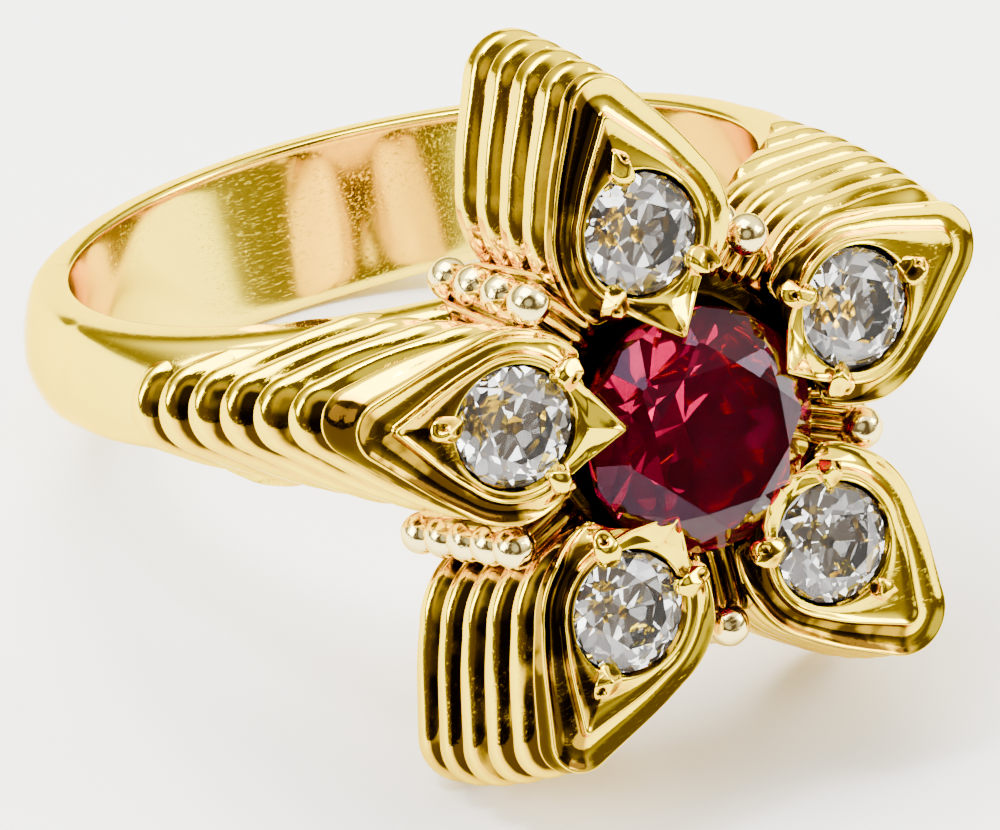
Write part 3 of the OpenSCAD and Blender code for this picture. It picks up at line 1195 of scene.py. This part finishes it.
@dataclass(frozen=True)
class Wiring:
    """A small helper round a node tree: makes nodes, sets their sockets and links them."""

    tree: NodeTree

    def node(self, kind: str, **sockets: object) -> Node:
        """Makes a node and sets its inputs.

        Args:
            kind: The node's type.
            sockets: Input names with spaces as underscores, each a value or a socket to link.

        Returns:
            The node.
        """
        made = self.tree.nodes.new(kind)
        for name, value in sockets.items():
            self.put(made, name.replace("_", " "), value)
        return made

    def put(self, node: Node, name: str | int, value: object) -> None:
        """Sets an input of a node to a value, or links a socket to it.

        Args:
            node: The node.
            name: The input's name or number.
            value: The value, or the socket that feeds it.
        """
        if isinstance(value, Socket):
            self.tree.links.new(value, node.inputs[name])
        else:
            node.inputs[name].default_value = value

    def math(self, operation: str, a: object, b: object) -> Socket:
        """Adds a Math node.

        Args:
            operation: What it does.
            a: Its first value or socket.
            b: Its second.

        Returns:
            The socket with its result.
        """
        made = self.tree.nodes.new("ShaderNodeMath")
        made.operation = operation
        self.put(made, 0, a)
        self.put(made, 1, b)
        return made.outputs[0]

    def blend(self, factor: object, a: object, b: object) -> Socket:
        """Adds a colour mix.

        Args:
            factor: 0 for the first colour and 1 for the second.
            a: The first colour, three numbers or a socket.
            b: The second.

        Returns:
            The socket with the mixed colour.
        """
        made = self.tree.nodes.new("ShaderNodeMix")
        made.data_type = "RGBA"
        for index, value in ((0, factor), (6, a), (7, b)):
            self.put(made, index, (*value, 1) if isinstance(value, tuple) else value)
        return made.outputs[2]

    def spread(self, value: Socket, low: float, high: float) -> Socket:
        """Adds a map of a value's stretch onto 0 to 1 with soft ends.

        Args:
            value: The value's socket.
            low: Where the result is 0.
            high: Where it is 1.

        Returns:
            The socket with the result.
        """
        made = self.tree.nodes.new("ShaderNodeMapRange")
        made.interpolation_type = "SMOOTHSTEP"
        for index, given in enumerate((value, low, high)):
            self.put(made, index, given)
        return made.outputs[0]


def wear_group() -> NodeTree:
    """Builds the shared group that works out how handled metal or stone is worn.

    Tint is a slow cloud, Wear a mask of fine scratches and pits, and Height the same as relief.

    Returns:
        The node group.
    """
    tree = bpy.data.node_groups.new("handled_wear", "ShaderNodeTree")
    tree.interface.new_socket("Vector", in_out="INPUT", socket_type="NodeSocketVector")
    for name in ("Pit Scale", "Scratch Scale", "Cloud Scale"):
        tree.interface.new_socket(name, in_out="INPUT", socket_type="NodeSocketFloat")
    for name in ("Tint", "Wear", "Height"):
        tree.interface.new_socket(name, in_out="OUTPUT", socket_type="NodeSocketFloat")
    w = Wiring(tree)
    given = tree.nodes.new("NodeGroupInput").outputs
    result = tree.nodes.new("NodeGroupOutput")
    vector, cloud_scale = given["Vector"], given["Cloud Scale"]
    cloud = w.node("ShaderNodeTexNoise", Vector=vector, Scale=cloud_scale, Detail=3.0)
    pits = w.node("ShaderNodeTexVoronoi", Vector=vector, Scale=given["Pit Scale"])
    pit = w.math("SUBTRACT", 1.0, w.spread(pits.outputs["Distance"], 0.05, 0.3))
    sparse = w.node("ShaderNodeTexNoise", Vector=vector, Scale=cloud_scale, Detail=1.0)
    pit = w.math("MULTIPLY", pit, w.spread(sparse.outputs[0], 0.5, 0.62))
    stretch = w.node(
        "ShaderNodeMapping", Vector=vector, Rotation=(0.5, 0.3, 0.8), Scale=(1.0, 14.0, 5.0)
    ).outputs[0]
    fine = given["Scratch Scale"]
    lines = w.node("ShaderNodeTexNoise", Vector=stretch, Scale=fine, Detail=4.0, Roughness=0.7)
    scratch = w.spread(lines.outputs[0], 0.56, 0.7)
    wear = w.math("MAXIMUM", pit, w.math("MULTIPLY", scratch, 0.6))
    w.put(result, "Tint", w.spread(cloud.outputs[0], 0.35, 0.65))
    w.put(result, "Wear", wear)
    w.put(result, "Height", w.math("SUBTRACT", 1.0, wear))
    return tree


@dataclass(frozen=True)
class Finish:
    """What gold and stones share: a name, and the scales of their pits, scratches and clouds."""

    name: str
    pit_scale: float
    scratch_scale: float
    cloud_scale: float

    def begin(self, wear: NodeTree) -> tuple[bpy.types.Material, Wiring, Node, Node]:
        """Starts the material with the shared wear group in it.

        Args:
            wear: The shared wear group.

        Returns:
            The material, its wiring, its shader and the node of the group.
        """
        made = bpy.data.materials.new(self.name)
        made.use_nodes = True
        w = Wiring(made.node_tree)
        group = made.node_tree.nodes.new("ShaderNodeGroup")
        group.node_tree = wear
        w.put(group, "Vector", w.node("ShaderNodeTexCoord").outputs["Object"])
        w.put(group, "Pit Scale", self.pit_scale)
        w.put(group, "Scratch Scale", self.scratch_scale)
        w.put(group, "Cloud Scale", self.cloud_scale)
        return made, w, made.node_tree.nodes["Principled BSDF"], group


@dataclass(frozen=True)
class GoldFinish(Finish):
    """Polished yellow gold: its own tint on crests, a painted-shade tint in grooves, its gloss and
    its wear.
    """

    crest: Triple
    # The groove tint is painted shade where a piece's mask is high; the cloud also blends towards it
    # a little
    groove: Triple
    roughness: float
    worn_roughness: float
    relief: float
    # The colour of the darkest painted shade
    painted_shade: Triple = (0.03, 0.014, 0.001)
    edge_tint: Triple = (1.0, 0.84, 0.2)
    bump_height: float = 0.02 * MM
    cloud_low: float = 0.8
    cloud_range: float = 0.3
    cloud_stain: float = 0.12

    def build(self, wear: NodeTree) -> bpy.types.Material:
        """Builds the material.

        The colour goes from the crest's tint to the groove's painted-shade tint over the first half
        of the mesh's groove mask of painted shade and the cloud, and to the darkest painted shade
        over the second. Roughness and relief follow the wear.

        Args:
            wear: The shared wear group.

        Returns:
            The material.
        """
        made, w, shader, group = self.begin(wear)
        # The groove attribute carries the painted shade of flutes, seats and hollows
        mark = made.node_tree.nodes.new("ShaderNodeAttribute")
        mark.attribute_name = "groove"
        tint = group.outputs["Tint"]
        cloud = w.math("ADD", w.math("MULTIPLY", tint, self.cloud_range), self.cloud_low)
        deep = w.math("MULTIPLY", cloud, mark.outputs["Fac"])
        deep = w.math("ADD", deep, w.math("MULTIPLY", tint, self.cloud_stain))
        amber = w.blend(w.spread(deep, 0.0, 0.5), self.crest, self.groove)
        w.put(shader, "Base Color", w.blend(w.spread(deep, 0.5, 1.0), amber, self.painted_shade))
        spread = self.worn_roughness - self.roughness
        rough = w.math("MULTIPLY", group.outputs["Wear"], spread)
        w.put(shader, "Roughness", w.math("ADD", rough, self.roughness))
        bump = w.node("ShaderNodeBump", Height=group.outputs["Height"])
        w.put(bump, "Strength", self.relief)
        w.put(bump, "Distance", self.bump_height)
        w.put(shader, "Normal", bump.outputs[0])
        w.put(shader, "Metallic", 1.0)
        w.put(shader, "Specular Tint", (*self.edge_tint, 1))
        return made


@dataclass(frozen=True)
class StoneFinish(Finish):
    """A clear cut stone: its body colour and darker cloud, its light bending and its wear."""

    colour: Triple
    cloud: Triple
    ior: float
    scratched: float
    clear: float
    glint: Triple

    def build(self, wear: NodeTree) -> bpy.types.Material:
        """Builds the material, whose colour is clouded and whose facets are faintly scratched.

        Args:
            wear: The shared wear group.

        Returns:
            The material.
        """
        made, w, shader, group = self.begin(wear)
        w.put(shader, "Base Color", w.blend(group.outputs["Tint"], self.colour, self.cloud))
        w.put(shader, "Roughness", w.math("MULTIPLY", group.outputs["Wear"], self.scratched))
        w.put(shader, "IOR", self.ior)
        w.put(shader, "Transmission Weight", self.clear)
        w.put(shader, "Specular Tint", (*self.glint, 1))
        return made


GOLD = GoldFinish(
    "polished_gold", pit_scale=5200, scratch_scale=2200, cloud_scale=900,
    crest=(1.0, 0.73, 0.0), groove=(0.8, 0.47, 0.0),
    roughness=0.07, worn_roughness=0.26, relief=0.08,
)
SHANK_GOLD = GoldFinish(
    "worn_gold", pit_scale=5200, scratch_scale=3600, cloud_scale=900,
    crest=(1.0, 0.75, 0.02), groove=(0.97, 0.67, 0.0),
    roughness=0.09, worn_roughness=0.26, relief=0.06,
)
GRAIN_GOLD = GoldFinish(
    "grain_gold", pit_scale=6000, scratch_scale=3000, cloud_scale=900,
    crest=(1.0, 0.82, 0.3), groove=(0.95, 0.7, 0.18),
    roughness=0.09, worn_roughness=0.3, relief=0.15,
)
RUBY = StoneFinish(
    "ruby_red", pit_scale=9000, scratch_scale=5000, cloud_scale=420,
    colour=(0.42, 0.0, 0.05), cloud=(0.2, 0.0, 0.02),
    ior=1.77, scratched=0.03, clear=0.95, glint=(0.12, 0.08, 0.14),
)
DIAMOND = StoneFinish(
    "diamond_clear", pit_scale=9000, scratch_scale=5000, cloud_scale=900,
    colour=(1.0, 1.0, 1.0), cloud=(0.95, 0.97, 1.0),
    ior=2.42, scratched=0.02, clear=0.98, glint=(0.4, 0.4, 0.42),
)


def stood(name: str, data: bpy.types.ID) -> bpy.types.Object:
    """Makes an object and puts it in the scene.

    Args:
        name: The object's name.
        data: Its mesh, light or camera.

    Returns:
        The object.
    """
    made = bpy.data.objects.new(name, data)
    bpy.context.scene.collection.objects.link(made)
    return made


@dataclass(frozen=True)
class Bench:
    """Where pieces are put together: makes the objects and dresses them."""

    pose: RestingPose

    def piece(
        self,
        name: str,
        shell: Shell,
        material: bpy.types.Material,
        slot: Slot,
        node: str,
        smooth: bool = True,
    ) -> None:
        """Makes a piece from a closed shell, at the origin with its place in its mesh.

        Args:
            name: The piece's name.
            shell: Its surface in the ring's frame.
            material: Its finish.
            slot: The record's slot of that finish; not used.
            node: The CAD node that it stands for.
            smooth: Whether its faces are shaded as one surface.
        """
        mesh = bpy.data.meshes.new(name)
        mesh.from_pydata(self.pose.place(shell.points), [], shell.faces)
        # The mask of painted shade goes on the mesh as its groove attribute
        if shell.mask is not None:
            mark = mesh.attributes.new("groove", "FLOAT", "POINT")
            mark.data.foreach_set("value", shell.mask.astype(np.float32))
        mesh.materials.append(material)
        mesh.polygons.foreach_set("use_smooth", [smooth] * len(mesh.polygons))
        mesh.update()
        made = stood(name, mesh)
        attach(made, "root")
        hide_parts(node)
        LOG.info("%s: %d points, %d faces", name, len(mesh.vertices), len(mesh.polygons))


def aimed(spot: np.ndarray, axes: np.ndarray) -> Matrix:
    """The matrix of a camera or light at a spot, its own X, Y and Z given as columns."""
    return Matrix.Translation(spot) @ Matrix(axes.tolist()).to_4x4()


@dataclass(frozen=True)
class Lamp:
    """A square soft light that faces the ring: its place in the world, its side and its watts."""

    name: str
    place: Triple
    size: float
    power: float

    def build(self) -> None:
        """Makes the light."""
        data = bpy.data.lights.new(self.name, "AREA")
        data.energy, data.size = self.power, self.size * MM
        back = np.array(self.place) / np.linalg.norm(self.place)
        side = np.cross([0, 0, 1], back)
        side = side / np.linalg.norm(side)
        axes = np.stack([side, np.cross(back, side), back], 1)
        stood(self.name, data).matrix_world = aimed(np.array(self.place) * MM, axes)


@dataclass(frozen=True)
class Studio:
    """The camera at the photograph's angle, the pale floor and the soft lights."""

    # The camera's axes in the ring's frame, its distance and its aim beside the star's level
    back: Triple = (-0.3968, -0.8683, 0.2975)
    right: Triple = (0.8707, -0.4587, -0.1772)
    distance: float = 290.42
    lens: float = 442.7
    sensor: float = 36.0
    aim: Span = (1.609, -2.427)
    clip: Span = (0.01, 10)
    floor_half: float = 900.0
    floor_tone: Triple = (0.97, 0.97, 0.97)
    floor_roughness: float = 0.9
    # Where the roof, the opening round the camera and the opening's middle start and are full
    roof: Span = (0.1, 0.62)
    opening: Span = (0.5, 0.78)
    middle: Span = (0.9, 0.97)
    wall_tone: Triple = (0.34, 0.28, 0.19)
    roof_tone: Triple = (2.7, 2.62, 2.4)
    opening_tone: Triple = (0.14, 0.1, 0.065)
    middle_tone: Triple = (1.0, 0.97, 0.9)
    plain_strength: float = 1.6
    lamps: tuple[Lamp, ...] = (
        Lamp("soft_top", (-60, 160, 460), 420, 7.6),
        Lamp("soft_left", (-520, 60, 260), 300, 4.2),
        Lamp("soft_right", (420, -220, 300), 260, 3.5),
        Lamp("key", (-160, 40, 420), 50, 0.8),
    )

    def camera(self, pose: RestingPose, drop: float) -> None:
        """Makes the scene's camera from its axes in the ring's frame.

        Args:
            pose: Where the ring's frame lies.
            drop: How far the star's middle lies below the shank's.
        """
        back, right = np.array(self.back), np.array(self.right)
        right = right - back * (right @ back) / (back @ back)
        back, right = back / np.linalg.norm(back), right / np.linalg.norm(right)
        up = np.cross(back, right)
        spot = np.array([0, 0, -drop]) + right * self.aim[0] + up * self.aim[1]
        spot = pose.place(spot + back * self.distance)
        data = bpy.data.cameras.new("photo_camera")
        data.lens, data.sensor_width = self.lens, self.sensor
        data.clip_start, data.clip_end = self.clip
        made = stood("photo_camera", data)
        made.matrix_world = aimed(spot, np.stack([pose.turn(v) for v in (right, up, back)], 1))
        bpy.context.scene.camera = made

    def floor(self) -> None:
        """Makes the plain pale floor at the level the ring rests on."""
        h = self.floor_half * MM
        mesh = bpy.data.meshes.new("floor")
        mesh.from_pydata([(-h, -h, 0), (h, -h, 0), (h, h, 0), (-h, h, 0)], [], [(0, 1, 2, 3)])
        paint = bpy.data.materials.new("floor_white")
        paint.use_nodes = True
        shader = paint.node_tree.nodes["Principled BSDF"]
        shader.inputs["Base Color"].default_value = (*self.floor_tone, 1)
        shader.inputs["Roughness"].default_value = self.floor_roughness
        mesh.materials.append(paint)
        made = stood("floor", mesh)

    def surroundings(self, pose: RestingPose) -> None:
        """Makes the world: a bright soft tent with the dark opening that the camera looks in by.

        The dark patch is where the direction's share along the camera's axis is above a limit, with
        a grey spot in its middle. What the camera sees past the floor is plain and pale.

        Args:
            pose: Where the ring's frame lies.
        """
        world = bpy.data.worlds.new("light_tent")
        bpy.context.scene.world = world
        world.use_nodes = True
        w = Wiring(world.node_tree)
        look = w.node("ShaderNodeTexCoord").outputs["Generated"]
        dot = w.node("ShaderNodeVectorMath")
        dot.operation = "DOT_PRODUCT"
        w.put(dot, 0, look)
        w.put(dot, 1, tuple(pose.turn(np.array(self.back))))
        toward = dot.outputs["Value"]
        height = w.node("ShaderNodeSeparateXYZ", Vector=look).outputs["Z"]
        tone = w.blend(w.spread(height, *self.roof), self.wall_tone, self.roof_tone)
        tone = w.blend(w.spread(toward, *self.opening), tone, self.opening_tone)
        tone = w.blend(w.spread(toward, *self.middle), tone, self.middle_tone)
        tent = w.node("ShaderNodeBackground", Color=tone, Strength=1.0)
        plain = w.node("ShaderNodeBackground", Color=(1, 1, 1, 1), Strength=self.plain_strength)
        mix = world.node_tree.nodes.new("ShaderNodeMixShader")
        w.put(mix, 0, w.node("ShaderNodeLightPath").outputs["Is Camera Ray"])
        w.put(mix, 1, tent.outputs[0])
        w.put(mix, 2, plain.outputs[0])
        w.put(world.node_tree.nodes["World Output"], 0, mix.outputs[0])

    def build(self, pose: RestingPose) -> None:
        """Makes the floor, the lights and the world.

        Args:
            pose: Where the ring's frame lies.
        """
        self.floor()
        for lamp in self.lamps:
            lamp.build()
        self.surroundings(pose)


# The first seeds of the prongs' strokes and of the grains' waves
PRONG_SEED = 3
GRAIN_SEED = 20


def main() -> None:
    """Builds the camera, the ring's pieces and the studio."""
    logging.basicConfig(level=logging.INFO, format="%(message)s")
    pose = RestingPose.of_bore(frame["record"]["mounts"][0])
    bench, studio, star = Bench(pose), Studio(), Star()
    studio.camera(pose, star.drop)
    wear = wear_group()
    gold, grain_gold, band_gold = (f.build(wear) for f in (GOLD, GRAIN_GOLD, SHANK_GOLD))
    ruby_red, clear = RUBY.build(wear), DIAMOND.build(wear)
    prongs, stones = Prongs(), SetStones()
    body = "ring_body"
    for number, petal in enumerate(PETALS):
        bench.piece("petal_" + petal.name, petal.build(star), gold, Slot.GOLD, body)
        held = prongs.build(star, petal, number + PRONG_SEED)
        bench.piece("prongs_" + petal.name, held, gold, Slot.GOLD, body)
        stone = stones.in_petal(star, petal, number)
        node = "diamond_" + petal.name
        bench.piece("brilliant_" + petal.name, stone, clear, Slot.DIAMOND, node, smooth=False)
    for number, row in enumerate(GRAIN_ROWS):
        grains = row.grains(star, number + GRAIN_SEED)
        bench.piece("grains_" + row.name, grains, grain_gold, Slot.GOLD, body)
        bench.piece("strip_" + row.name, row.strip(star), gold, Slot.GOLD, body)
    bench.piece("shank", Shank().build(), band_gold, Slot.GOLD, body)
    bench.piece("drum", Drum().build(star), gold, Slot.GOLD, body)
    bench.piece("ruby_stone", stones.in_middle(star), ruby_red, Slot.RUBY, "ruby", smooth=False)
    studio.build(pose)


if __name__ == "__main__":
    main()
